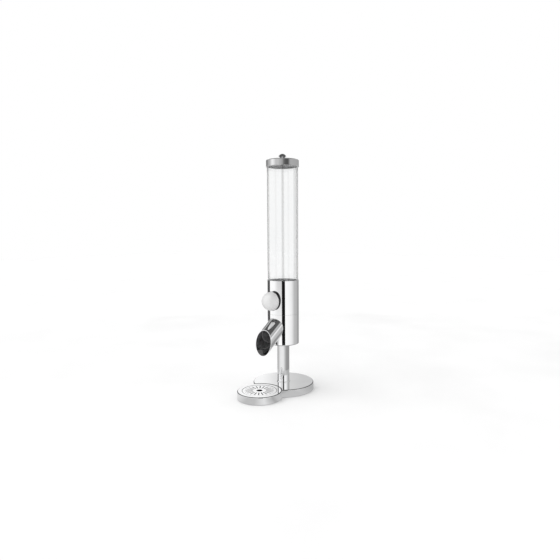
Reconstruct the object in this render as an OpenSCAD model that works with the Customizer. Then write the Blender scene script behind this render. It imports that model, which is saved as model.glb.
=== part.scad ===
// Table-top cereal dispenser with a metering wheel.
// Millimetres. The origin is on the table, under the axis of the pole.
// +Z is up, -Y is the front, where the knob, spout and tray are.

/* [Hopper tube] */
// Outer diameter of the clear tube
tube_od = 100; // [84:1:120]
// Wall of the clear tube
tube_wall = 3; // [2:0.5:5]
// Length of the clear tube
tube_len = 396; // [200:1:500]
// Depth of the tube inside the housing
tube_seat_depth = 13.8; // [8:0.1:15]

/* [Lid] */
// Height of the lid's skirt
lid_h = 21.5; // [16:0.5:30]
// Sheet thickness of the lid
lid_sheet = 1.2; // [0.8:0.1:2]
// Radial gap between the skirt and the tube
lid_gap = 1.3; // [0.5:0.1:3]
// Diameter of the lid's knob
lid_knob_d = 25; // [18:1:40]
// Height of the lid's knob above the lid
lid_knob_h = 19.7; // [16:0.1:26]

/* [Housing] */
// Sheet thickness of both housings
housing_wall = 1.5; // [1:0.1:2]
// Radial gap between the tube and the upper housing
tube_fit = 0.5; // [0.3:0.1:1]
// Height of the lower housing, round the chute
lower_h = 100; // [95:1:130]
// Height of the upper housing, round the metering wheel
upper_h = 110; // [104:1:140]
// Height of the housing's bottom above the table
housing_z = 154; // [120:1:240]

/* [Base and pole] */
// Diameter of the base
base_d = 200; // [180:1:260]
// Height of the base
base_h = 25; // [24:1:36]
// Diameter of the pole
pole_d = 40; // [32:1:48]
// Wall of the pole
pole_wall = 2; // [1.5:0.1:3]

/* [Tray] */
// Diameter of the crumb tray
tray_d = 140; // [116:1:168]
// Height of the crumb tray
tray_h = 24.6; // [18:0.1:30]
// Distance from the pole's axis to the tray's axis
tray_reach = 126; // [118:1:150]
// Gap between the tray and the base's cut-out
tray_gap = 0.8; // [0.4:0.1:2]
// Number of slots in the grille
slot_count = 20; // [12:1:24]
// Width of one slot
slot_w = 3; // [2:0.1:4]

/* [Spout] */
// Outer diameter of the spout
spout_d = 62; // [50:1:72]
// Wall of the spout
spout_wall = 1.2; // [0.8:0.1:2]
// Slope of the spout below the horizontal
spout_angle = 33; // [28:1:38]
// Distance from the housing's axis to the middle of the mouth
spout_reach = 104.5; // [96:0.5:130]
// Height of the middle of the mouth above the housing's bottom
mouth_rise = 17.3; // [10:0.1:20]
// Lean of the mouth's plane, lower lip forward
mouth_lean = 9; // [0:1:12]

/* [Metering wheel] */
// Height of the wheel's axis above the upper housing's bottom
wheel_rise = 46; // [44:0.5:50]
// Inner radius of the drum
drum_r = 30; // [26:1:31]
// Inner length of the drum
drum_len = 60; // [44:1:62]
// Number of vanes
vane_count = 6; // [5:1:8]
// Gap between the vane tips and the drum
vane_gap = 0.8; // [0.4:0.1:2]
// Diameter of the drive shaft
shaft_d = 12; // [8:1:14]

/* [Knob] */
// Diameter of the knob
knob_d = 60; // [44:1:70]
// Thickness of the knob's steel cap
knob_sheet = 1.2; // [0.8:0.1:2]
// How far the core's flange stands out past the cap
knob_lip = 1; // [0.5:0.1:3]
// Diameter of the collar behind the knob
rosette_d = 36; // [32:1:48]
// How far the collar stands out of the housing
rosette_out = 3.5; // [2.5:0.1:6]
// Gap between the collar and the knob
knob_gap = 4; // [2:0.1:8]

/* [Hidden] */

$fn = 96;
// Overshoot of a cut past the face that it opens
cut = 1;
// Gap between pieces that are fixed together but don't touch
seat_gap = 0.2;
// Radial running gap of the shaft in its bushings
run_gap = 0.05;
// Radial gap of a screw in its hole
screw_gap = 0.05;

// Base: rubber pad, plate, ballast and the pressed cover
pad_t = 2;
plate_t = 2.5;
cover_t = 1.5;
cover_edge = 2.5;
skirt_z = 1;
weight_t = 9;
weight_top = base_h - cover_t - seat_gap;
weight_bottom = weight_top - weight_t;
boss_r = 7;
boss_ring = base_d / 2 * 0.66;
boss_angles = [35, 145, 90];
plate_z = pad_t;
inner_gap = 0.3;
notch_r = tray_d / 2 + tray_gap;

// Pole and its bolt
pole_r = pole_d / 2;
pole_bore = pole_r - pole_wall;
plug_h = 30;
bolt_r = 5;
bolt_len = 35;
bolt_head_h = 6.4;
bolt_head_r = 9.2;
washer_r = 12;
washer_t = 2;
floor_t = 3;
head_plate_t = 4;
head_plate_r = pole_r + 22;
head_screw_ring = pole_r + 13;
small_screw_r = 2;

// Housing
housing_r = tube_od / 2 + tube_fit + housing_wall;
housing_bore = housing_r - housing_wall;
housing_edge = 3;
seam_z = housing_z + lower_h;
seam_gap = 0.4;
housing_top = seam_z + upper_h;
insert_r = housing_bore - 0.4;

// Joint ring behind the seam, with the ledge that carries the chute and the drum
joint_below = 8;
joint_above = 14;
joint_r = housing_bore - 0.3;
joint_t = 2.7;
ledge_in = 3.5;
flange_t = 3;
joint_bore = joint_r - joint_t;
flange_r = joint_bore - 0.3;
screw_below = 3;
screw_above = 9;
screw_angles = [60, 120];

// Spout and chute
spout_r = spout_d / 2;
spout_start = 36;
spout_gap = 0.25;
mouth_z = housing_z + mouth_rise;
elbow_z = mouth_z + spout_reach * tan(spout_angle);
chute_wall = 2;
chute_r = spout_r;
chute_nose_r = spout_r - spout_wall - 0.4;
chute_nose = 60;

// Metering drum
wheel_z = seam_z + wheel_rise;
tube_z = housing_top - tube_seat_depth;
seat_t = 3.8;
chamber_top = tube_z - seat_gap - seat_t - seat_gap;
drum_wall = 3;
drum_out = drum_r + drum_wall;
drum_half = drum_len / 2;
cover_plate_t = 3.6;
ear_r = 4;
ear_ring = drum_out + 1.2;
ear_len = 14;
ear_screw_r = 1.5;
inlet_r = drum_r * 0.73;
outlet_r = drum_r * 0.8;
funnel_wall = 2.5;
funnel_top_r = insert_r - 3.2;
funnel_z = wheel_z + sqrt(drum_r * drum_r - inlet_r * inlet_r);
rear_wall = 3;
boss_out = 5.5;

// Shaft, bushings and wheel
shaft_r = shaft_d / 2;
bush_r = shaft_r + 4;
bush_flange_r = bush_r + 4;
bush_flange_t = 2;
rear_bush_r = shaft_r + 3;
rosette_y = housing_r + rosette_out;
nut_t = 6;
nut_r = bush_r + 6;
nut_y = sqrt(housing_bore * housing_bore - nut_r * nut_r) - 0.9;
clip_t = 1.2;
shaft_back = drum_half + rear_wall + boss_out + 6;
clip_y = shaft_back - 3;
flat_depth = 1;
hub_r = shaft_r + 6;
hub_half = drum_half - 1.5;
vane_t = 2.5;
vane_root = shaft_r + 2.1;
vane_tip = drum_r - vane_gap;

// Knob
knob_r = knob_d / 2;
knob_back = rosette_y + knob_gap;
knob_band = 2;
knob_flange_t = 2.5;
knob_shaft_depth = 18;
grub_r = 2;
grub_y = knob_back + 6;

// Tube and lid
tube_r = tube_od / 2;
tube_bore = tube_r - tube_wall;
tube_top = tube_z + tube_len;
lid_r = tube_r + lid_gap + lid_sheet;
lid_lift_off = 0.7;
web_t = 1.3;
lid_under = tube_top + lid_lift_off + web_t + 0.1;
lid_top = lid_under + lid_sheet;
lid_bottom = lid_top - lid_h;
lid_edge = 2.5;
bead_r = 0.8;
plug_r = tube_bore - 0.5;
plug_wall = 3;
plug_bottom = lid_bottom + 3;
seal_r = 0.9;
seal_ring = tube_bore - 0.3 - seal_r;
seal_z = plug_bottom + 6;
lid_screw_r = 2.5;

// Tray
tray_r = tray_d / 2;
tray_sheet = 1.2;
tray_edge = 2.5;
tray_floor = 2;
rim_w = 14.5;
grille_t = 1.5;
grille_drop = 0.4;
ledge_w = 3.5;
ledge_t = 1.2;
recess_r = tray_r - rim_w;
grille_r = recess_r - 0.4;
grille_z = tray_h - grille_drop - grille_t;
well_r = recess_r - ledge_w;
slot_in = tray_r * 0.32;
slot_out = tray_r * 0.62;
finger_r = 9.4;
groove_r = tray_r * 0.66;

// Upright ring
module ring(r_out, r_in, h) {
  difference() {
    cylinder(r = r_out, h = h);
    translate([0, 0, -cut]) cylinder(r = r_in, h = h + 2 * cut);
  }
}

// Upright disc whose top edge has radius edge
module soft_disc(r, h, edge) {
  rotate_extrude() {
    square([r - edge, h]);
    square([r, h - edge]);
    translate([r - edge, h - edge]) intersection() {
      circle(edge);
      square(edge);
    }
  }
}

// Cylinder along the wheel's axis, from y_front in front of the axis to y_back behind it
module along_wheel(r, y_front, y_back) {
  translate([0, y_back, wheel_z]) rotate([90, 0, 0]) cylinder(r = r, h = y_front + y_back);
}

// Children stand on the elbow's centre with +Z down the spout
module along_spout() {
  translate([0, 0, elbow_z]) rotate([90 + spout_angle, 0, 0]) children();
}

// Countersunk screw that points along +Z, its head's flat face at z = 0
module flat_screw(r, length) {
  cylinder(r1 = 2 * r, r2 = r, h = r);
  cylinder(r = r, h = length);
}

// Pan head screw that points along -Z, its shank's root at z = 0
module pan_screw(r, length, head_h) {
  translate([0, 0, -length]) cylinder(r = r, h = length);
  cylinder(r = 1.8 * r, h = head_h);
}

// Plan of the base, shrunk by inset on its rim and its cut-out
module base_plan(inset) {
  difference() {
    circle(r = base_d / 2 - inset);
    translate([0, -tray_reach]) circle(r = notch_r + inset);
  }
}

module base_cover() {
  color("silver") difference() {
    translate([0, 0, skirt_z]) soft_disc(base_d / 2, base_h - skirt_z, cover_edge);
    translate([0, -tray_reach, 0]) cylinder(r = notch_r, h = base_h + cut);
    translate([0, -tray_reach, base_h - 1]) cylinder(r1 = notch_r, r2 = notch_r + 1 + cut, h = 1 + cut);
    linear_extrude(base_h - cover_t) base_plan(cover_t);
    cylinder(r = bolt_r + 0.5, h = base_h + cut);
  }
}

// Places children at the ballast's bosses
module at_bosses() {
  for (a = boss_angles) rotate([0, 0, a]) translate([boss_ring, 0, 0]) children();
}

module base_weight() {
  color("dimgray") difference() {
    union() {
      translate([0, 0, weight_bottom]) linear_extrude(weight_t) base_plan(cover_t + inner_gap);
      at_bosses() translate([0, 0, plate_z + plate_t]) cylinder(r = boss_r, h = weight_bottom - plate_z);
    }
    translate([0, 0, weight_bottom - cut]) cylinder(r = bolt_r + 0.5, h = weight_t + 2 * cut);
    at_bosses() cylinder(r = small_screw_r + screw_gap, h = weight_bottom + 2);
  }
}

module base_plate() {
  color("gray") difference() {
    translate([0, 0, plate_z]) linear_extrude(plate_t) base_plan(cover_t + inner_gap);
    at_bosses() translate([0, 0, plate_z]) flat_screw(small_screw_r + screw_gap, plate_t + cut);
  }
}

module base_plate_screws() {
  color("darkgray") at_bosses() translate([0, 0, plate_z]) flat_screw(small_screw_r, 10);
}

module base_pad() {
  color("black") linear_extrude(pad_t) base_plan(cover_t + 2);
}

module pole() {
  color("silver") translate([0, 0, base_h])
    ring(pole_r, pole_bore, housing_z + floor_t + head_plate_t - base_h);
}

module pole_foot_ring() {
  color("silver") translate([0, 0, base_h]) difference() {
    soft_disc(pole_r + 2.5, 2, 1);
    translate([0, 0, -cut]) cylinder(r = pole_r + 0.1, h = 2 + 2 * cut);
  }
}

module pole_foot_plug() {
  color("gray") translate([0, 0, base_h]) ring(pole_bore - 0.1, bolt_r + screw_gap, plug_h);
}

module pole_washer() {
  color("gray") translate([0, 0, weight_bottom - washer_t]) ring(washer_r, bolt_r + 0.3, washer_t);
}

module pole_bolt() {
  color("dimgray") translate([0, 0, weight_bottom - washer_t]) {
    translate([0, 0, -bolt_head_h]) cylinder(r = bolt_head_r, h = bolt_head_h, $fn = 6);
    cylinder(r = bolt_r, h = bolt_len);
  }
}

// Places children at the head plate's screws
module at_head_screws() {
  for (a = [45:90:315]) rotate([0, 0, a]) translate([head_screw_ring, 0, 0]) children();
}

module pole_head_plate() {
  color("gray") translate([0, 0, housing_z + floor_t]) difference() {
    ring(head_plate_r, pole_r + 0.1, head_plate_t);
    at_head_screws() translate([0, 0, -cut]) cylinder(r = small_screw_r + 0.2, h = head_plate_t + 2 * cut);
  }
}

module head_plate_screws() {
  color("darkgray") translate([0, 0, housing_z + floor_t + head_plate_t])
    at_head_screws() pan_screw(small_screw_r, head_plate_t + floor_t - 0.5, 2.5);
}

// Radial holes or shanks of the housing screws, from radius r_in to r_out
module housing_screw_pins(r, r_in, r_out, heights) {
  for (a = screw_angles) for (z = heights)
    rotate([0, 0, a]) translate([r_in, 0, z]) rotate([0, 90, 0]) cylinder(r = r, h = r_out - r_in);
}

module lower_housing() {
  color("silver") difference() {
    translate([0, 0, seam_z]) mirror([0, 0, 1]) soft_disc(housing_r, lower_h, housing_edge);
    translate([0, 0, housing_z + floor_t]) cylinder(r = housing_bore, h = lower_h);
    translate([0, 0, housing_z - cut]) cylinder(r = pole_r + 0.1, h = floor_t + 2 * cut);
    translate([0, 0, housing_z + 0.5]) at_head_screws() cylinder(r = small_screw_r + screw_gap, h = floor_t);
    along_spout() translate([0, 0, spout_start - 4]) cylinder(r = spout_r + spout_gap, h = spout_reach);
    housing_screw_pins(small_screw_r + 0.1, joint_bore, housing_r + cut, [seam_z - screw_below]);
  }
}

module upper_housing() {
  color("silver") difference() {
    translate([0, 0, seam_z + seam_gap]) ring(housing_r, housing_bore, upper_h - seam_gap);
    along_wheel(bush_r + 0.2, housing_r + cut, 0);
    housing_screw_pins(small_screw_r + 0.1, joint_bore, housing_r + cut, [seam_z + screw_above]);
  }
}

module housing_joint_ring() {
  color("gray") difference() {
    translate([0, 0, seam_z - joint_below]) ring(joint_r, joint_bore - ledge_in, joint_below + joint_above);
    translate([0, 0, seam_z - flange_t]) cylinder(r = joint_bore, h = joint_above + joint_below);
    along_spout() cylinder(r = spout_r + spout_gap, h = spout_reach);
    housing_screw_pins(small_screw_r + screw_gap, joint_bore - ledge_in - cut, joint_r + cut,
      [seam_z - screw_below, seam_z + screw_above]);
  }
}

module housing_screws() {
  color("darkgray") {
    housing_screw_pins(small_screw_r, joint_bore + 0.3, housing_r + 0.5,
      [seam_z - screw_below, seam_z + screw_above]);
    housing_screw_pins(2 * small_screw_r, housing_r + 0.1, housing_r + 1.6,
      [seam_z - screw_below, seam_z + screw_above]);
  }
}

module spout() {
  color("silver") difference() {
    along_spout() translate([0, 0, spout_start])
      ring(spout_r, spout_r - spout_wall, spout_reach / cos(spout_angle) - spout_start + spout_d);
    translate([0, -spout_reach, mouth_z]) rotate([-mouth_lean, 0, 0])
      translate([-spout_d, -2 * spout_d, -2 * spout_d]) cube([2 * spout_d, 2 * spout_d, 4 * spout_d]);
  }
}

// Elbow of the chute, grown outward by wall
module chute_way(wall, above) {
  translate([0, 0, elbow_z]) cylinder(r = chute_r - chute_wall + wall, h = seam_z - elbow_z + above);
  translate([0, 0, elbow_z]) sphere(r = chute_r - chute_wall + wall);
  along_spout() cylinder(r = chute_nose_r - chute_wall + wall, h = chute_nose + above);
}

module chute() {
  color("gainsboro") difference() {
    intersection() {
      union() {
        chute_way(chute_wall, 0);
        translate([0, 0, seam_z - flange_t]) cylinder(r = flange_r, h = flange_t);
      }
      translate([0, 0, housing_z]) cylinder(r = housing_r + spout_reach, h = lower_h);
    }
    chute_way(0, cut);
  }
}

module funnel_cone(grow, above) {
  slope = (funnel_top_r - inlet_r) / (chamber_top - funnel_z);
  low = funnel_z - 4;
  translate([0, 0, low]) cylinder(
    r1 = inlet_r - 4 * slope + grow,
    r2 = funnel_top_r + above * slope + grow,
    h = chamber_top + above - low
  );
}

// Places children at the drum's ears, with +Z towards the front
module at_ears() {
  for (a = [45:90:315])
    translate([ear_ring * cos(a), -drum_half, wheel_z + ear_ring * sin(a)]) rotate([90, 0, 0]) children();
}

module metering_chamber() {
  color("dimgray") difference() {
    union() {
      along_wheel(drum_out, drum_half, drum_half + rear_wall);
      along_wheel(rear_bush_r + 3.5, 0, drum_half + rear_wall + boss_out);
      at_ears() translate([0, 0, -ear_len]) cylinder(r = ear_r, h = ear_len);
      funnel_cone(funnel_wall, 0);
      translate([0, 0, chamber_top - flange_t]) cylinder(r = insert_r, h = flange_t);
      translate([0, 0, seam_z]) cylinder(r = outlet_r + drum_wall, h = wheel_z - seam_z);
      translate([0, 0, seam_z]) cylinder(r = flange_r, h = flange_t);
    }
    along_wheel(drum_r, drum_half + cut, drum_half);
    along_wheel(rear_bush_r + screw_gap, 0, shaft_back);
    funnel_cone(0, cut);
    translate([0, 0, seam_z - cut]) cylinder(r = outlet_r, h = wheel_z - seam_z + cut);
    at_ears() translate([0, 0, -ear_len + 2]) cylinder(r = ear_screw_r + screw_gap, h = ear_len);
  }
}

module chamber_cover() {
  color("gray") difference() {
    union() {
      along_wheel(drum_out, drum_half + seat_gap + cover_plate_t, -drum_half - seat_gap);
      at_ears() translate([0, 0, seat_gap]) cylinder(r = ear_r, h = cover_plate_t);
    }
    along_wheel(shaft_r + 1, drum_half + 4 * cover_plate_t, 0);
    funnel_cone(funnel_wall + seat_gap, 0);
    at_ears() cylinder(r = ear_screw_r + 0.2, h = 2 * cover_plate_t);
  }
}

module chamber_cover_screws() {
  color("darkgray") at_ears() translate([0, 0, seat_gap + cover_plate_t])
    pan_screw(ear_screw_r, 14, 1.8);
}

module tube_seat() {
  color("black") translate([0, 0, chamber_top + seat_gap]) ring(insert_r, tube_bore - 1, seat_t);
}

module knob_rosette() {
  color("dimgray") difference() {
    along_wheel(rosette_d / 2, rosette_y, -housing_r / 2);
    cylinder(r = housing_r + 0.1, h = housing_top);
    along_wheel(bush_r + 0.2, rosette_y + cut, 0);
    along_wheel(bush_flange_r + 0.2, rosette_y + cut, -rosette_y + bush_flange_t);
  }
}

module front_bushing() {
  color("white") difference() {
    union() {
      along_wheel(bush_flange_r, rosette_y, -rosette_y + bush_flange_t);
      along_wheel(bush_r, rosette_y - bush_flange_t, -nut_y + nut_t + 3);
    }
    along_wheel(shaft_r + run_gap, rosette_y + cut, 0);
  }
}

module bushing_nut() {
  color("gray") difference() {
    translate([0, -nut_y + nut_t, wheel_z]) rotate([90, 0, 0]) cylinder(r = nut_r, h = nut_t, $fn = 6);
    along_wheel(bush_r + screw_gap, nut_y + cut, 0);
  }
}

module rear_bushing() {
  color("white") difference() {
    along_wheel(rear_bush_r, -drum_half - 0.5, drum_half + rear_wall + boss_out);
    along_wheel(shaft_r + run_gap, 0, shaft_back);
  }
}

// Shaft with its driving flat, grown by gap
module shaft_body(gap) {
  difference() {
    along_wheel(shaft_r + gap, knob_back + knob_shaft_depth, shaft_back);
    translate([-shaft_r - cut, -hub_half, wheel_z + shaft_r - flat_depth + gap])
      cube([shaft_d + 2 * cut, 2 * hub_half, shaft_d]);
  }
}

module drive_shaft() {
  color("silver") difference() {
    shaft_body(0);
    translate([0, clip_y + clip_t, wheel_z]) rotate([90, 0, 0]) ring(shaft_r + cut, shaft_r - 1, clip_t);
  }
}

module shaft_circlip() {
  color("dimgray") translate([0, clip_y + clip_t - 0.1, wheel_z]) rotate([90, 0, 0]) difference() {
    ring(shaft_r + 3, shaft_r - 0.9, clip_t - 0.2);
    translate([-1.5, 0, -cut]) cube([3, shaft_d, clip_t + 2 * cut]);
  }
}

// Places children at each vane, with +X outward
module at_vanes() {
  for (i = [0:vane_count - 1])
    translate([0, 0, wheel_z]) rotate([0, 360 / vane_count * (i + 0.5), 0]) children();
}

module paddle_hub() {
  color("white") difference() {
    along_wheel(hub_r, hub_half, hub_half);
    shaft_body(run_gap);
    at_vanes() translate([vane_root - 0.1, -drum_half, -vane_t / 2 - 0.05])
      cube([hub_r, drum_len, vane_t + 0.1]);
  }
}

module paddle_vanes() {
  color("lightgray") at_vanes() translate([vane_root, -hub_half, -vane_t / 2])
    cube([vane_tip - vane_root, 2 * hub_half, vane_t]);
}

// Half outline of a ball end with its flat side at y = 0, its band below the dome
module ball_end(r) {
  square([r, knob_band]);
  translate([0, knob_band]) intersection() {
    circle(r);
    square(r);
  }
}

// Turns a half outline about the wheel's axis, its y = 0 at the depth y_back
module turned(y_back) {
  translate([0, -y_back, wheel_z]) rotate([90, 0, 0]) rotate_extrude() children();
}

module knob() {
  color("silver") difference() {
    turned(knob_back + knob_flange_t) difference() {
      ball_end(knob_r);
      ball_end(knob_r - knob_sheet);
      translate([0, -cut]) square([knob_r - knob_sheet, 2 * cut]);
    }
    translate([0, -grub_y, wheel_z - knob_r - cut]) cylinder(r = grub_r + screw_gap, h = knob_r + cut);
  }
}

module knob_core() {
  color("dimgray") difference() {
    turned(knob_back) {
      square([knob_r + knob_lip - knob_flange_t / 2, knob_flange_t]);
      translate([knob_r + knob_lip - knob_flange_t / 2, knob_flange_t / 2]) circle(knob_flange_t / 2);
      translate([0, knob_flange_t - cut]) square([knob_r - knob_sheet - 0.02, 2 * cut]);
      translate([0, knob_flange_t]) ball_end(knob_r - knob_sheet - 0.02);
    }
    along_wheel(shaft_r + 0.02, knob_back + knob_shaft_depth + 0.5, 0);
    translate([0, -grub_y, wheel_z - knob_r - cut]) cylinder(r = grub_r + screw_gap, h = knob_r + cut);
  }
}

module knob_grub_screw() {
  color("dimgray") translate([0, -grub_y, wheel_z - shaft_r - 0.1 - 14]) cylinder(r = grub_r, h = 14);
}

module hopper_tube() {
  color([0.9, 0.95, 1, 0.3]) translate([0, 0, tube_z]) ring(tube_r, tube_bore, tube_len);
}

module lid() {
  color("silver") {
    difference() {
      translate([0, 0, lid_bottom]) soft_disc(lid_r, lid_h, lid_edge);
      translate([0, 0, lid_bottom - cut])
        soft_disc(lid_r - lid_sheet, lid_h - lid_sheet + cut, lid_edge - lid_sheet);
      cylinder(r = lid_screw_r + 0.2, h = lid_top + cut);
    }
    translate([0, 0, lid_bottom]) rotate_extrude() translate([lid_r - bead_r / 4, 0]) circle(bead_r);
  }
}

module lid_insert() {
  color("dimgray") difference() {
    union() {
      translate([0, 0, plug_bottom]) cylinder(r = plug_r, h = tube_top + lid_lift_off - plug_bottom);
      translate([0, 0, tube_top + lid_lift_off]) cylinder(r = tube_r, h = web_t);
    }
    translate([0, 0, plug_bottom - cut])
      cylinder(r = plug_r - plug_wall, h = tube_top + lid_lift_off - plug_bottom + cut);
    translate([0, 0, seal_z]) rotate_extrude() translate([seal_ring, 0]) circle(seal_r + 0.05);
    cylinder(r = lid_screw_r + 0.2, h = lid_top);
  }
}

module lid_seal() {
  color("black") translate([0, 0, seal_z]) rotate_extrude() translate([seal_ring, 0]) circle(seal_r);
}

module lid_knob() {
  cap_r = lid_knob_d / 2;
  cap_h = lid_knob_h * 0.4;
  neck_h = lid_knob_h * 0.3;
  ball_r = (cap_r * cap_r + cap_h * cap_h) / (2 * cap_h);
  color("silver") translate([0, 0, lid_top]) difference() {
    union() {
      cylinder(r = cap_r * 0.5, h = neck_h);
      translate([0, 0, neck_h]) cylinder(r1 = cap_r * 0.5, r2 = cap_r, h = lid_knob_h - cap_h - neck_h);
      intersection() {
        translate([0, 0, lid_knob_h - ball_r]) sphere(r = ball_r);
        translate([0, 0, lid_knob_h - cap_h]) cylinder(r = lid_knob_d, h = lid_knob_d);
      }
    }
    translate([0, 0, -cut]) cylinder(r = lid_screw_r + screw_gap, h = lid_knob_h - 8 + cut);
  }
}

module lid_knob_screw() {
  color("darkgray") translate([0, 0, tube_top + lid_lift_off]) mirror([0, 0, 1])
    pan_screw(lid_screw_r, lid_top - tube_top - lid_lift_off + lid_knob_h - 9, 2.8);
}

module tray_pan() {
  color("silver") translate([0, -tray_reach, 0]) difference() {
    union() {
      translate([0, 0, skirt_z]) difference() {
        soft_disc(tray_r, tray_h - skirt_z, tray_edge);
        translate([0, 0, -cut])
          soft_disc(tray_r - tray_sheet, tray_h - skirt_z - tray_sheet + cut, tray_edge - tray_sheet);
      }
      translate([0, 0, tray_floor]) cylinder(r = well_r + tray_sheet, h = grille_z - tray_floor);
      translate([0, 0, grille_z - ledge_t]) cylinder(r = recess_r + tray_sheet, h = tray_h - grille_z + ledge_t - 0.6);
    }
    translate([0, 0, tray_floor + tray_sheet]) cylinder(r = well_r, h = tray_h);
    translate([0, 0, grille_z]) cylinder(r = recess_r, h = tray_h);
  }
}

module tray_grille() {
  color("gainsboro") translate([0, -tray_reach, grille_z]) difference() {
    cylinder(r = grille_r, h = grille_t);
    translate([0, 0, -cut]) cylinder(r = finger_r, h = grille_t + 2 * cut);
    for (i = [0:slot_count - 1]) rotate([0, 0, 360 / slot_count * i]) translate([0, 0, -cut]) {
      translate([slot_in, -slot_w / 2, 0]) cube([slot_out - slot_in, slot_w, grille_t + 2 * cut]);
      for (x = [slot_in, slot_out]) translate([x, 0, 0]) cylinder(r = slot_w / 2, h = grille_t + 2 * cut);
    }
    translate([0, 0, grille_t - 0.4]) ring(groove_r + 0.5, groove_r - 0.5, 1);
  }
}

module tray_pad() {
  color("black") translate([0, -tray_reach, 0]) cylinder(r = well_r - 1, h = tray_floor);
}

base_cover();
base_weight();
base_plate();
base_plate_screws();
base_pad();
pole();
pole_foot_ring();
pole_foot_plug();
pole_bolt();
pole_washer();
pole_head_plate();
head_plate_screws();
lower_housing();
upper_housing();
housing_joint_ring();
housing_screws();
spout();
chute();
metering_chamber();
chamber_cover();
chamber_cover_screws();
tube_seat();
knob_rosette();
front_bushing();
bushing_nut();
rear_bushing();
drive_shaft();
shaft_circlip();
paddle_hub();
paddle_vanes();
knob();
knob_core();
knob_grub_screw();
hopper_tube();
lid();
lid_insert();
lid_seal();
lid_knob();
lid_knob_screw();
tray_pan();
tray_grille();
tray_pad();
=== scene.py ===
import math

import bmesh
import bpy
from mathutils import Matrix, Vector


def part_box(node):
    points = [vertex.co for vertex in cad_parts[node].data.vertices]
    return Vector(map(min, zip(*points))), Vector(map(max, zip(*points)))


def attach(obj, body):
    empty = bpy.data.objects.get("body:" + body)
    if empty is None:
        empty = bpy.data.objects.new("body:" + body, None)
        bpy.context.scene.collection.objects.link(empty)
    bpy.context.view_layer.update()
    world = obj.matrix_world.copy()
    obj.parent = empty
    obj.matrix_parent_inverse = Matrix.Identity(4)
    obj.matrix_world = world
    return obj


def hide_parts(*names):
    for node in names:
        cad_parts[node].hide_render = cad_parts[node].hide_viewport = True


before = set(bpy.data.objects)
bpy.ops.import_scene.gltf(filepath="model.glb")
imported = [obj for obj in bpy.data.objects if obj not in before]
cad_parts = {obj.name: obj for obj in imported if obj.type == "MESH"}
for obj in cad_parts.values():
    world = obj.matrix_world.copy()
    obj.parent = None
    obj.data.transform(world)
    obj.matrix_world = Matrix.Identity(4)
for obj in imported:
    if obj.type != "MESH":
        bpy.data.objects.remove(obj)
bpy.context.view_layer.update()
mm = 0.001

# ---------------------------------------------------------------- base
# A shallow round cover of mirror polished steel sheet over a cast iron weight.
# A flat steel plate closes it below, held by four screws, and a ring of
# rubber glued to the plate keeps the stand from sliding on the table.

polish_line = 0.35 * mm
polish_depth = 0.0006 * mm
smudge_size = 45 * mm
# A dark line of painted reflection, edge_reflection_tone dark, runs on the rounded top edges.
edge_turn = 1.7 * mm
edge_reflection_tone = 0.10
steel_bright = (0.930, 0.931, 0.936, 1)
steel_soft = (0.885, 0.888, 0.895, 1)


def finish(name, metallic=0.0):
    """An empty material and its shader."""
    material = bpy.data.materials.new(name)
    material.use_nodes = True
    shader = material.node_tree.nodes["Principled BSDF"]
    shader.inputs["Metallic"].default_value = metallic
    return material, shader


def grain(material, size, stretch=(1, 1, 1), detail=3.0):
    """Noise in the piece's own metres, its lumps about size long, more wherever stretch is small."""
    tree = material.node_tree
    place = tree.nodes.new("ShaderNodeTexCoord")
    scaled = tree.nodes.new("ShaderNodeMapping")
    scaled.inputs["Scale"].default_value = [s / size for s in stretch]
    noise = tree.nodes.new("ShaderNodeTexNoise")
    noise.inputs["Scale"].default_value = 1.0
    noise.inputs["Detail"].default_value = detail
    tree.links.new(place.outputs["Object"], scaled.inputs["Vector"])
    tree.links.new(scaled.outputs["Vector"], noise.inputs["Vector"])
    return noise.outputs["Fac"]


def tint(material, shader, pattern, low, high):
    """Colours the surface between low and high where the pattern goes from dark to light."""
    tree = material.node_tree
    ramp = tree.nodes.new("ShaderNodeValToRGB")
    ramp.color_ramp.elements[0].position = 0.3
    ramp.color_ramp.elements[0].color = low
    ramp.color_ramp.elements[1].position = 0.7
    ramp.color_ramp.elements[1].color = high
    tree.links.new(pattern, ramp.inputs["Fac"])
    tree.links.new(ramp.outputs["Color"], shader.inputs["Base Color"])


def dull(material, shader, pattern, smooth, rough):
    """Roughness from smooth to rough along the pattern."""
    tree = material.node_tree
    spread = tree.nodes.new("ShaderNodeMapRange")
    spread.inputs["From Min"].default_value = 0.3
    spread.inputs["From Max"].default_value = 0.7
    spread.inputs["To Min"].default_value = smooth
    spread.inputs["To Max"].default_value = rough
    tree.links.new(pattern, spread.inputs["Value"])
    tree.links.new(spread.outputs["Result"], shader.inputs["Roughness"])


def relief(material, shader, pattern, depth, strength=1.0):
    """Raises the surface by depth where the pattern is light."""
    tree = material.node_tree
    bump = tree.nodes.new("ShaderNodeBump")
    bump.inputs["Distance"].default_value = depth
    bump.inputs["Strength"].default_value = strength
    tree.links.new(pattern, bump.inputs["Height"])
    tree.links.new(bump.outputs["Normal"], shader.inputs["Normal"])


def coat(material, *nodes):
    """Puts the material on these CAD pieces."""
    for name in nodes:
        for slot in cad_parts[name].material_slots:
            slot.material = material


def polished_steel(name, stretch, smooth=0.012, rough=0.045):
    """Mirror polished steel whose last fine polishing lines run where stretch is small."""
    material, shader = finish(name, 1.0)
    smudges = grain(material, smudge_size)
    lines = grain(material, polish_line, stretch, 2.0)
    tint(material, shader, smudges, steel_soft, steel_bright)
    dull(material, shader, lines, smooth, rough)
    relief(material, shader, lines, polish_depth, 0.25)
    return material


steel_flat = polished_steel("steel_polished_flat", (0.02, 1, 1))


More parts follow.
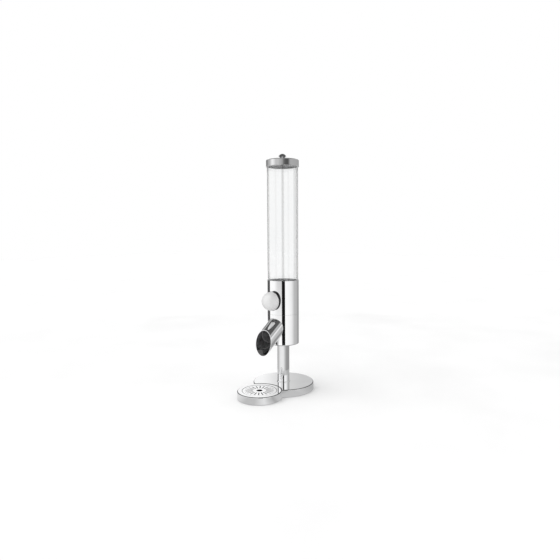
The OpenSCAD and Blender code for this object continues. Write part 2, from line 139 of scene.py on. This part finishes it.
def fade(material, value, near, far, start, end):
    """Turns a value that runs from near to far into one that runs from start to end."""
    change = material.node_tree.nodes.new("ShaderNodeMapRange")
    change.inputs["From Min"].default_value = near
    change.inputs["From Max"].default_value = far
    change.inputs["To Min"].default_value = start
    change.inputs["To Max"].default_value = end
    material.node_tree.links.new(value, change.inputs["Value"])
    return change.outputs["Result"]


def darken(material, shader, factor):
    """Multiplies the material's colour by a factor worked out in its own nodes."""
    tree = material.node_tree
    colour = shader.inputs["Base Color"].links[0].from_socket
    product = tree.nodes.new("ShaderNodeVectorMath")
    product.operation = "MULTIPLY"
    tree.links.new(colour, product.inputs[0])
    tree.links.new(factor, product.inputs[1])
    tree.links.new(product.outputs["Vector"], shader.inputs["Base Color"])


def painted_edge_reflection(material, shader, top):
    """Paints a dark line on the rounded edge just below that height: a painted reflection."""
    tree = material.node_tree
    place = tree.nodes.new("ShaderNodeTexCoord")
    apart = tree.nodes.new("ShaderNodeSeparateXYZ")
    tree.links.new(place.outputs["Object"], apart.inputs["Vector"])
    depth = fade(material, apart.outputs["Z"], top - edge_turn, top, 0, 1)
    ramp = tree.nodes.new("ShaderNodeValToRGB")
    for end in ramp.color_ramp.elements:
        end.color = (1, 1, 1, 1)
    for position in (0.3, 0.95):
        stop = ramp.color_ramp.elements.new(position)
        stop.color = (edge_reflection_tone, edge_reflection_tone, edge_reflection_tone, 1)
    tree.links.new(depth, ramp.inputs["Fac"])
    darken(material, shader, ramp.outputs["Color"])


base_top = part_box("base_cover")[1].z
# Painted reflection: the base's rounded top edge gets a dark line.
painted_edge_reflection(steel_flat, steel_flat.node_tree.nodes["Principled BSDF"], base_top)
coat(steel_flat, "base_cover")

iron, iron_shader = finish("iron_cast_painted")
iron_lumps = grain(iron, 1.6 * mm, detail=6.0)
tint(iron, iron_shader, iron_lumps, (0.018, 0.018, 0.019, 1), (0.045, 0.045, 0.047, 1))
dull(iron, iron_shader, iron_lumps, 0.55, 0.8)
relief(iron, iron_shader, iron_lumps, 0.25 * mm)
coat(iron, "base_weight")

sheet, sheet_shader = finish("steel_sheet_plain", 1.0)
sheet_lines = grain(sheet, 0.6 * mm, (1, 0.03, 1))
tint(sheet, sheet_shader, sheet_lines, (0.50, 0.50, 0.51, 1), (0.63, 0.63, 0.64, 1))
dull(sheet, sheet_shader, sheet_lines, 0.28, 0.45)
relief(sheet, sheet_shader, sheet_lines, 0.004 * mm, 0.5)
coat(sheet, "base_plate")

zinc, zinc_shader = finish("zinc_plated_steel", 1.0)
zinc_flakes = grain(zinc, 0.9 * mm, detail=4.0)
tint(zinc, zinc_shader, zinc_flakes, (0.56, 0.57, 0.59, 1), (0.70, 0.70, 0.69, 1))
dull(zinc, zinc_shader, zinc_flakes, 0.25, 0.42)
relief(zinc, zinc_shader, zinc_flakes, 0.006 * mm, 0.5)
coat(zinc, "base_plate_screws")

rubber, rubber_shader = finish("rubber_black")
rubber_pores = grain(rubber, 0.5 * mm, detail=5.0)
tint(rubber, rubber_shader, rubber_pores, (0.010, 0.010, 0.010, 1), (0.024, 0.024, 0.024, 1))
dull(rubber, rubber_shader, rubber_pores, 0.62, 0.85)
relief(rubber, rubber_shader, rubber_pores, 0.03 * mm, 0.6)
coat(rubber, "base_pad")

# ---------------------------------------------------------------- pole
# A mirror polished steel tube that stands on the base. A bolt through the
# base pulls on a plug welded in its foot, a thin polished ring hides the
# joint, and a round plate on top is screwed to the housing's floor.

steel_upright = polished_steel("steel_polished_upright", (0.015, 0.015, 1))
coat(steel_upright, "pole", "pole_foot_ring")
coat(sheet, "pole_foot_plug", "pole_head_plate")
coat(zinc, "pole_bolt", "pole_washer", "head_plate_screws")

# ---------------------------------------------------------------- housing
# Two upright shells of polished steel tube, the lower with a welded floor.
# They meet at a hair-fine joint over a ring inside, and dome-headed screws
# at the back go through both the upper shell and that ring.

housing_low, housing_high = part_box("upper_housing")
housing_radius = (housing_high.x - housing_low.x) / 2
housing_skin = 1 * mm
skin_middle = housing_radius - 0.6 * mm
drawn_rough = 0.5
polished_rough = 0.03


def reach_from(material, middle, turn=(0, 0, 0)):
    """How far each point lies from a line through middle, upright or as that turn brings it upright."""
    tree = material.node_tree
    place = tree.nodes.new("ShaderNodeTexCoord")
    shift = tree.nodes.new("ShaderNodeVectorMath")
    shift.operation = "SUBTRACT"
    shift.inputs[1].default_value = middle
    level = tree.nodes.new("ShaderNodeMapping")
    level.inputs["Rotation"].default_value = turn
    flat = tree.nodes.new("ShaderNodeVectorMath")
    flat.operation = "MULTIPLY"
    flat.inputs[1].default_value = (1, 1, 0)
    reach = tree.nodes.new("ShaderNodeVectorMath")
    reach.operation = "LENGTH"
    tree.links.new(place.outputs["Object"], shift.inputs[0])
    tree.links.new(shift.outputs["Vector"], level.inputs["Vector"])
    tree.links.new(level.outputs["Vector"], flat.inputs[0])
    tree.links.new(flat.outputs["Vector"], reach.inputs[0])
    return reach.outputs["Value"]


steel_upper = polished_steel("steel_polished_upper", (0.03, 0.03, 1))
upper_reach = reach_from(steel_upper, (0, 0, 0))
upper_rough = fade(
    steel_upper, upper_reach, housing_radius - housing_skin, skin_middle, drawn_rough, polished_rough
)
upper_shader = steel_upper.node_tree.nodes["Principled BSDF"]
steel_upper.node_tree.links.new(upper_rough, upper_shader.inputs["Roughness"])
coat(steel_upper, "upper_housing")
coat(steel_upright, "lower_housing")
coat(sheet, "housing_joint_ring")
coat(zinc, "housing_screws")

# ---------------------------------------------------------------- spout
# A polished steel tube welded into the lower housing at a slant, its mouth
# cut nearly upright and its edge polished. A grey plastic chute inside the
# housing leads what falls from the wheel round the bend into it.

spout_slope = math.radians(33)
spout_rise = 239.16 * mm
spout_bore = 29.8 * mm
bore_skin_start = spout_bore + 0.2 * mm
bore_skin_end = spout_bore + 0.4 * mm
bore_rough = 0.42
spout_polish = 0.02

steel_spout = polished_steel("steel_polished_spout", (1, 0.05, 0.05))
spout_shader = steel_spout.node_tree.nodes["Principled BSDF"]
spout_reach = reach_from(steel_spout, (0, 0, spout_rise), (math.pi / 2 + spout_slope, 0, 0))
spout_rough = fade(steel_spout, spout_reach, bore_skin_start, bore_skin_end, bore_rough, spout_polish)
steel_spout.node_tree.links.new(spout_rough, spout_shader.inputs["Roughness"])
coat(steel_spout, "spout")

duct, duct_shader = finish("plastic_chute")
duct_skin = grain(duct, 0.9 * mm, detail=4.0)
tint(duct, duct_shader, duct_skin, (0.30, 0.30, 0.30, 1), (0.36, 0.36, 0.36, 1))
dull(duct, duct_shader, duct_skin, 0.30, 0.40)
relief(duct, duct_shader, duct_skin, 0.01 * mm, 0.4)
coat(duct, "chute")

# ---------------------------------------------------------------- metering chamber
# A drum of chalky moulded plastic with a funnel on top and a neck below, its
# front closed by a screwed cover. The clear tube stands on a pale soft ring
# that lies on the funnel's rim.

chalky, chalky_shader = finish("plastic_chalk_white")
chalky_skin = grain(chalky, 0.6 * mm, detail=4.0)
tint(chalky, chalky_shader, chalky_skin, (0.52, 0.52, 0.525, 1), (0.60, 0.60, 0.605, 1))
dull(chalky, chalky_shader, chalky_skin, 0.38, 0.55)
relief(chalky, chalky_shader, chalky_skin, 0.015 * mm, 0.5)
coat(chalky, "metering_chamber", "chamber_cover")
coat(zinc, "chamber_cover_screws")
coat(chalky, "tube_seat")

# ---------------------------------------------------------------- metering wheel
# A turned steel shaft in two white nylon bushings carries a moulded hub
# with six soft vanes. A hexagon nut clamps the front bushing in the wall
# of the housing, and a spring clip keeps the shaft from sliding forward.

white, white_shader = finish("plastic_white")
white_skin = grain(white, 0.8 * mm, detail=4.0)
tint(white, white_shader, white_skin, (0.70, 0.70, 0.68, 1), (0.78, 0.78, 0.76, 1))
dull(white, white_shader, white_skin, 0.32, 0.5)
relief(white, white_shader, white_skin, 0.01 * mm, 0.5)
coat(white, "front_bushing", "rear_bushing", "paddle_hub")

silicone, silicone_shader = finish("silicone_vane")
silicone_cloud = grain(silicone, 6 * mm, detail=3.0)
silicone_shader.inputs["Subsurface Weight"].default_value = 0.25
silicone_shader.inputs["Subsurface Scale"].default_value = 2 * mm
tint(silicone, silicone_shader, silicone_cloud, (0.55, 0.55, 0.52, 1), (0.66, 0.66, 0.63, 1))
dull(silicone, silicone_shader, silicone_cloud, 0.4, 0.6)
relief(silicone, silicone_shader, silicone_cloud, 0.02 * mm, 0.5)
coat(silicone, "paddle_vanes")

shaft_steel, shaft_shader = finish("steel_turned_shaft", 1.0)
shaft_rings = grain(shaft_steel, 0.25 * mm, (0.02, 1, 0.02))
tint(shaft_steel, shaft_shader, shaft_rings, (0.58, 0.58, 0.59, 1), (0.70, 0.70, 0.71, 1))
dull(shaft_steel, shaft_shader, shaft_rings, 0.16, 0.3)
relief(shaft_steel, shaft_shader, shaft_rings, 0.003 * mm, 0.5)
coat(shaft_steel, "drive_shaft")
coat(zinc, "shaft_circlip", "bushing_nut")

# ---------------------------------------------------------------- knob
# A half ball of satin steel pressed over a black plastic core, whose flange
# shows as a dark line behind it. A grub screw from below clamps the core
# on the shaft, and a short black collar fills the gap to the housing.

dark, dark_shader = finish("plastic_black")
dark_skin = grain(dark, 0.7 * mm, detail=4.0)
tint(dark, dark_shader, dark_skin, (0.014, 0.014, 0.015, 1), (0.026, 0.026, 0.027, 1))
dull(dark, dark_shader, dark_skin, 0.34, 0.5)
relief(dark, dark_shader, dark_skin, 0.012 * mm, 0.5)
coat(dark, "knob_core", "knob_rosette")
coat(zinc, "knob_grub_screw")

satin, satin_shader = finish("steel_satin_turned", 0.55)
satin_lines = grain(satin, 0.30 * mm, (0.05, 1, 0.05), 2.0)
satin_cloud = grain(satin, 14 * mm)
tint(satin, satin_shader, satin_cloud, (0.80, 0.80, 0.80, 1), (0.83, 0.83, 0.83, 1))
dull(satin, satin_shader, satin_lines, 0.56, 0.66)
relief(satin, satin_shader, satin_lines, 0.002 * mm, 0.5)
coat(satin, "knob")

# ---------------------------------------------------------------- tube
# A length of clear acrylic tube, sawn and flame polished at both ends. It
# stands loose in the top of the housing and lifts out for filling.

tube_sides = 256
tube_bevel = 0.5 * mm
tube_wall = 3 * mm


def lathe(name, outline, sides):
    """Turns a closed outline of (radius, height) points about the upright axis."""
    turned = bmesh.new()
    rings = []
    for side in range(sides):
        angle = math.tau * side / sides
        ring = []
        for radius, height in outline:
            point = (radius * math.cos(angle), radius * math.sin(angle), height)
            ring.append(turned.verts.new(point))
        rings.append(ring)
    for side, ring in enumerate(rings):
        following = rings[(side + 1) % sides]
        for i in range(len(outline)):
            j = (i + 1) % len(outline)
            turned.faces.new((ring[i], following[i], following[j], ring[j]))
    bmesh.ops.remove_doubles(turned, verts=turned.verts, dist=1e-7)
    bmesh.ops.recalc_face_normals(turned, faces=turned.faces)
    mesh = bpy.data.meshes.new(name)
    turned.to_mesh(mesh)
    turned.free()
    mesh.polygons.foreach_set("use_smooth", [True] * len(mesh.polygons))
    mesh.set_sharp_from_angle(angle=math.radians(35))
    piece = bpy.data.objects.new(name, mesh)
    bpy.context.scene.collection.objects.link(piece)
    return piece


tube_low, tube_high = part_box("hopper_tube")
tube_radius = tube_high.x
tube_bore = tube_radius - tube_wall
tube_outline = [
    (tube_bore, tube_low.z + tube_bevel),
    (tube_bore + tube_bevel, tube_low.z),
    (tube_radius - tube_bevel, tube_low.z),
    (tube_radius, tube_low.z + tube_bevel),
    (tube_radius, tube_high.z - tube_bevel),
    (tube_radius - tube_bevel, tube_high.z),
    (tube_bore + tube_bevel, tube_high.z),
    (tube_bore, tube_high.z - tube_bevel),
]
tube = lathe("clear_tube", tube_outline, tube_sides)

clear, clear_shader = finish("acrylic_clear")
clear_shader.inputs["Transmission Weight"].default_value = 1.0
clear_shader.inputs["IOR"].default_value = 1.49
clear_shader.inputs["Specular IOR Level"].default_value = 1.0
clear_cloud = grain(clear, 60 * mm)
tint(clear, clear_shader, clear_cloud, (0.985, 0.990, 0.992, 1), (1, 1, 1, 1))
dull(clear, clear_shader, clear_cloud, 0.0, 0.012)
relief(clear, clear_shader, clear_cloud, 0.01 * mm, 0.1)


def painted_streak_reflections(material, shader, lines, width):
    """Paints faint dark streaks along the tube as painted reflections: (turn about the axis, tone)
    pairs.
    """
    tree = material.node_tree
    place = tree.nodes.new("ShaderNodeTexCoord")
    around = tree.nodes.new("ShaderNodeTexGradient")
    around.gradient_type = "RADIAL"
    ramp = tree.nodes.new("ShaderNodeValToRGB")
    for end in ramp.color_ramp.elements:
        end.color = (1, 1, 1, 1)
    for turn, tone in lines:
        for across, level in ((-1.6, 1), (-0.6, tone), (0.6, tone), (1.6, 1)):
            stop = ramp.color_ramp.elements.new(turn + across * width)
            stop.color = (level, level, level, 1)
    tree.links.new(place.outputs["Object"], around.inputs["Vector"])
    tree.links.new(around.outputs["Fac"], ramp.inputs["Fac"])
    darken(material, shader, ramp.outputs["Color"])


# Painted reflections: faint dark streaks at fixed turns about the tube's axis.
streak_reflection_tones = [(0.056, 0.80), (0.279, 0.95), (0.354, 0.78), (0.412, 0.95), (0.488, 0.84),
             (0.524, 0.84), (0.667, 0.80)]
streak_reflection_width = 0.010
painted_streak_reflections(clear, clear_shader, streak_reflection_tones, streak_reflection_width)
clear_body = clear.node_tree.nodes.new("ShaderNodeVolumeAbsorption")
clear_body.inputs["Color"].default_value = (0.0, 0.03, 0.04, 1)
clear_body.inputs["Density"].default_value = 8.0
clear_out = clear.node_tree.nodes["Material Output"]
clear.node_tree.links.new(clear_body.outputs["Volume"], clear_out.inputs["Volume"])
tube.data.materials.append(clear)
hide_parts("hopper_tube")
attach(tube, "hopper")

# ---------------------------------------------------------------- lid
# A pressed cap of polished steel over a chalky white insert, whose rim
# plugs the tube and holds a rubber ring that seals it. A turned knob is
# screwed on top from below.

steel_lid = polished_steel("steel_polished_lid", (0.03, 0.03, 1))
coat(steel_lid, "lid")
coat(chalky, "lid_insert")
coat(rubber, "lid_seal")
coat(steel_lid, "lid_knob")
coat(zinc, "lid_knob_screw")

# ---------------------------------------------------------------- tray
# A loose round crumb tray of polished steel in the base's cut-out. A
# pressed grille with a ring of slots and a finger hole lies in its rim, and
# a rubber disc is glued under it.

grille_low, grille_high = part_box("tray_grille")
grille_middle = (grille_low + grille_high) / 2
grille_radius = (grille_high.x - grille_low.x) / 2
polish_end = 0.3 * mm
# Painted shade: the pan under the grille is darkened to this tone.
pan_inside_shade_tone = 0.10
# Painted reflection: the grille's outer edge is darkened to this tone.
grille_rim_reflection_tone = 0.06


def dull_and_shade_inside(material, shader, middle, radius, tone):
    """Leaves the sheet inside that radius dull, as it was drawn, and darkens it there with painted
    shade.
    """
    reach = reach_from(material, middle)
    near, far = radius - polish_end, radius + polish_end
    rough = fade(material, reach, near, far, drawn_rough, polished_rough)
    material.node_tree.links.new(rough, shader.inputs["Roughness"])
    darken(material, shader, fade(material, reach, near, far, tone, 1.0))


steel_tray = polished_steel("steel_polished_tray", (1, 0.03, 0.03))
tray_shader = steel_tray.node_tree.nodes["Principled BSDF"]
rolled_edge = reach_from(steel_tray, grille_middle)
rolled_start = grille_radius - 1.7 * mm
rolled_end = grille_radius - 1.2 * mm
# Painted reflection: a dark ring on the grille's outer edge.
painted_grille_rim_reflection = fade(steel_tray, rolled_edge, rolled_start, rolled_end, 1.0, grille_rim_reflection_tone)
darken(steel_tray, tray_shader, painted_grille_rim_reflection)
coat(steel_tray, "tray_grille")

steel_pan = polished_steel("steel_polished_pan", (1, 0.03, 0.03))
pan_low, pan_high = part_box("tray_pan")
pan_middle = (pan_low + pan_high) / 2
pan_shader = steel_pan.node_tree.nodes["Principled BSDF"]
# Dull as drawn inside the grille's radius, with painted shade darkening it.
dull_and_shade_inside(steel_pan, pan_shader, grille_middle, grille_radius, pan_inside_shade_tone)
# Painted reflection: the pan's rounded top edge gets a dark line.
painted_edge_reflection(steel_pan, pan_shader, pan_high.z)
coat(steel_pan, "tray_pan")
coat(rubber, "tray_pad")

# ---------------------------------------------------------------- table and backdrop
# A pale seamless table top, painted matt, which fills the view. A white room
# round it gives a soft even light.

table_albedo_low = (0.795, 0.795, 0.795, 1)
table_albedo_high = (0.825, 0.825, 0.825, 1)
table_half = 9.0

table_mesh = bpy.data.meshes.new("table_top")
table_corners = [(-table_half, -table_half, 0), (table_half, -table_half, 0),
                 (table_half, table_half, 0), (-table_half, table_half, 0)]
table_mesh.from_pydata(table_corners, [], [(0, 1, 2, 3)])
table = bpy.data.objects.new("table_top", table_mesh)
bpy.context.scene.collection.objects.link(table)
pale, pale_shader = finish("table_pale")
pale_cloud = grain(pale, 300 * mm)
tint(pale, pale_shader, pale_cloud, table_albedo_low, table_albedo_high)
dull(pale, pale_shader, pale_cloud, 0.75, 0.9)
table.data.materials.append(pale)

world = bpy.data.worlds.new("studio")
bpy.context.scene.world = world
world.use_nodes = True
world.node_tree.nodes["Background"].inputs["Color"].default_value = (1, 1, 1, 1)
world.node_tree.nodes["Background"].inputs["Strength"].default_value = 1.0

# ---------------------------------------------------------------- camera
# It stands close by, to the right of the spout and two thirds of the way up,
# and looks slightly down.

view_azimuth = 37.278
view_distance = 1.598
view_aside = 9.8 * mm
view_height = 516.9 * mm
view_down = 5.493
view_roll = -0.312
lens_mm = 31.43

camera = bpy.data.cameras.new("camera")
camera.sensor_width = 36
camera.lens = lens_mm
camera_stand = bpy.data.objects.new("camera", camera)
bpy.context.scene.collection.objects.link(camera_stand)
facing = Matrix.Rotation(math.radians(view_azimuth), 4, "Z")
camera_stand.matrix_world = (
    facing
    @ Matrix.Translation((-view_aside, -view_distance, view_height))
    @ Matrix.Rotation(math.radians(90 - view_down), 4, "X")
    @ Matrix.Rotation(math.radians(view_roll), 4, "Z")
)
bpy.context.scene.camera = camera_stand

# ---------------------------------------------------------------- studio
# White cloths, grey cloths and dark flags round the table, and sheets on the
# table that glow with its painted shade. They show as reflections, which is
# what gives polished metal its tones. Azimuths are degrees to the right of
# the line from the object to the camera.

low_distance = 0.69
high_distance = 1.6
flag_distance = high_distance - 0.02
low_wall_top = 0.34
far_wall_foot = 0.02
far_wall_top = 0.905
strip_top = 1.12
room_top = 1.8
roof_middle = 2.3
flag_top = 1.5
# Sheets of painted shade lie this little over the table.
shade_sheet_lift = 1 * mm
shade_sheet_foot = 0.02
stand_reach = 0.24
tray_shade_sheet_lift = 1.3 * mm
tray_shade_sheet_near = 0.06
tray_shade_sheet_far = 0.16
flag_tone = 0.26
room_tone = 0.50
roof_tone = 0.10
card_step = 3


def round_the_table(azimuth, distance, height):
    """A point at that azimuth from the camera's side of the object."""
    angle = math.radians(view_azimuth + azimuth)
    return (distance * math.sin(angle), -distance * math.cos(angle), height)


def card(name, tones, near, far, middle=Vector((0, 0, 0))):
    """A curved card between two edges at (distance, height) that only reflections see.

    Its stops are (azimuth, brightness), or (azimuth, brightness at the near edge, at the far edge).
    """
    points, faces, levels = [], [], []
    for (first, *tone), (last, *next_tone) in zip(tones, tones[1:]):
        steps = max(1, math.ceil(abs(last - first) / card_step))
        for step in range(steps + 1):
            part = step / steps
            azimuth = first + (last - first) * part
            if step:
                k = len(points)
                faces.append((k - 2, k, k + 1, k - 1))
            points.append(middle + Vector(round_the_table(azimuth, *near)))
            points.append(middle + Vector(round_the_table(azimuth, *far)))
            levels.append(tone[0] + (next_tone[0] - tone[0]) * part)
            levels.append(tone[-1] + (next_tone[-1] - tone[-1]) * part)
    mesh = bpy.data.meshes.new(name)
    mesh.from_pydata(points, [], faces)
    shade = mesh.color_attributes.new("tone", "FLOAT_COLOR", "POINT")
    for i, level in enumerate(levels):
        shade.data[i].color = (level, level, level, 1)
    piece = bpy.data.objects.new(name, mesh)
    bpy.context.scene.collection.objects.link(piece)
    material = bpy.data.materials.new(name)
    material.use_nodes = True
    tree = material.node_tree
    tree.nodes.clear()
    tone = tree.nodes.new("ShaderNodeVertexColor")
    tone.layer_name = "tone"
    glow = tree.nodes.new("ShaderNodeEmission")
    out = tree.nodes.new("ShaderNodeOutputMaterial")
    tree.links.new(tone.outputs["Color"], glow.inputs["Color"])
    tree.links.new(glow.outputs["Emission"], out.inputs["Surface"])
    mesh.materials.append(material)
    piece.visible_camera = False
    piece.visible_diffuse = False
    piece.visible_shadow = False
    piece.visible_transmission = False
    piece.visible_volume_scatter = False
    return piece


# The low wall, which the housing mirrors.
wall_tones = [(-205, 0.58), (-188, 0.62), (-180, 0.72), (-172, 1.00), (-150, 1.05), (-150, 0.10),
              (-106, 0.10), (-106, 1.10), (-62, 1.05), (-38, 1.10, 0.70), (-8.8, 1.15, 0.60),
              (-8.8, 0.008), (13.4, 0.008), (13.4, 1.08), (45, 1.00), (62, 0.90), (76, 0.70),
              (84, 0.55), (110, 0.50), (124, 0.38), (140, 0.32), (155, 0.58)]
card("wall_low", wall_tones, (low_distance, 0.0), (low_distance, low_wall_top))

# The far wall at the tube's height, which the tube's skin mirrors: white, with dark flags.
far_tones = [(-205, 0.90), (-62, 0.90), (-46, 0.90), (-34, 0.95), (-12, 0.80), (-10, 0.02),
             (10, 0.02), (12, 0.80), (28, 0.95), (60, 0.95), (88, 0.80), (92, 0.20), (122, 0.20),
             (126, 0.80), (155, 0.90)]
card("wall_far", far_tones, (high_distance, far_wall_foot), (high_distance, far_wall_top))

# Two narrow grey flags beside the backdrop. They are seen through the clear tube as well, and
# give it its dark edges.
for name, first, last in (("flag_left", -165, -149), ("flag_right", 149, 165)):
    flag_tones = [(first, flag_tone), (last, flag_tone)]
    flag = card(name, flag_tones, (flag_distance, 0.0), (flag_distance, flag_top))
    flag.visible_transmission = True

# The strip over the far wall, which the lid mirrors.
lid_tones = [(-205, 0.08), (-155, 0.08), (-150, 0.12), (-144, 0.16), (-126, 0.32), (-112, 0.46),
             (-100, 0.50), (-90, 0.66), (-80, 0.90), (-71, 0.95), (-63, 0.85), (-55, 0.72),
             (-47, 0.58), (-28, 0.57), (-21, 0.48), (-7, 0.40), (0, 0.33), (7, 0.18), (14, 0.12),
             (24, 0.09), (39, 0.09), (45, 0.22), (51, 0.36), (59, 0.42), (120, 0.40), (155, 0.36)]
card("wall_high", lid_tones, (high_distance, far_wall_top), (high_distance, strip_top))

# A sheet on the table that only reflections see, as the pole mirrors it:
# painted shade of the table, lightest towards the camera and darkest to the right.
table_shade_tones = [(-170, 0.40), (-105, 0.52), (-78, 0.74), (-56, 0.88), (0, 0.88), (22, 0.65), (42, 0.44),
               (63, 0.32), (116, 0.32), (190, 0.40)]
card("table_shade_mirrored", table_shade_tones, (stand_reach, shade_sheet_lift), (low_distance, shade_sheet_lift))

# Sheets on the table close to the stand and round the tray, which the sides
# of the base and the tray mirror: painted shade of the table near them.
near_shade_tones = [(-205, 0.48), (-170, 0.60), (-131, 0.62), (-66, 0.56), (-21, 0.56), (10, 0.62), (37, 0.60),
              (66, 0.50), (79, 0.46), (101, 0.46), (155, 0.48)]
card("table_shade_near", near_shade_tones, (shade_sheet_foot, shade_sheet_lift), (stand_reach, shade_sheet_lift))
tray_shade_tones = [(-205, 0.60), (-120, 0.78), (-86, 0.76), (-61, 0.66), (-44, 0.55), (-14, 0.56),
              (-3, 0.66), (7, 0.76), (17, 0.84), (24, 0.76), (32, 0.64), (44, 0.52), (52, 0.42),
              (67, 0.55), (155, 0.60)]
tray_middle = Vector((pan_middle.x, pan_middle.y, 0))
tray_near = (tray_shade_sheet_near, tray_shade_sheet_lift)
tray_far = (tray_shade_sheet_far, tray_shade_sheet_lift)
card("table_shade_by_tray", tray_shade_tones, tray_near, tray_far, tray_middle)

# The room over the walls, and its dark ceiling, which the spout and the lid's knob mirror.
room_tones = [(-180, room_tone), (180, room_tone)]
card("room_wall", room_tones, (high_distance, strip_top), (high_distance, room_top))
roof_tones = [(-180, roof_tone), (180, roof_tone)]
card("room_roof", roof_tones, (high_distance, room_top), (0.0, roof_middle))

# A broad soft light from high on the left.
key_azimuth = -70
key_rise = 1.6
key = bpy.data.lights.new("key", "SUN")
key.energy = 0.9
key.angle = math.radians(50)
key_stand = bpy.data.objects.new("key", key)
bpy.context.scene.collection.objects.link(key_stand)
key_from = Vector(round_the_table(key_azimuth, 1.0, key_rise))
key_stand.rotation_euler = key_from.to_track_quat("Z", "Y").to_euler()

bpy.context.scene.view_settings.view_transform = "Standard"
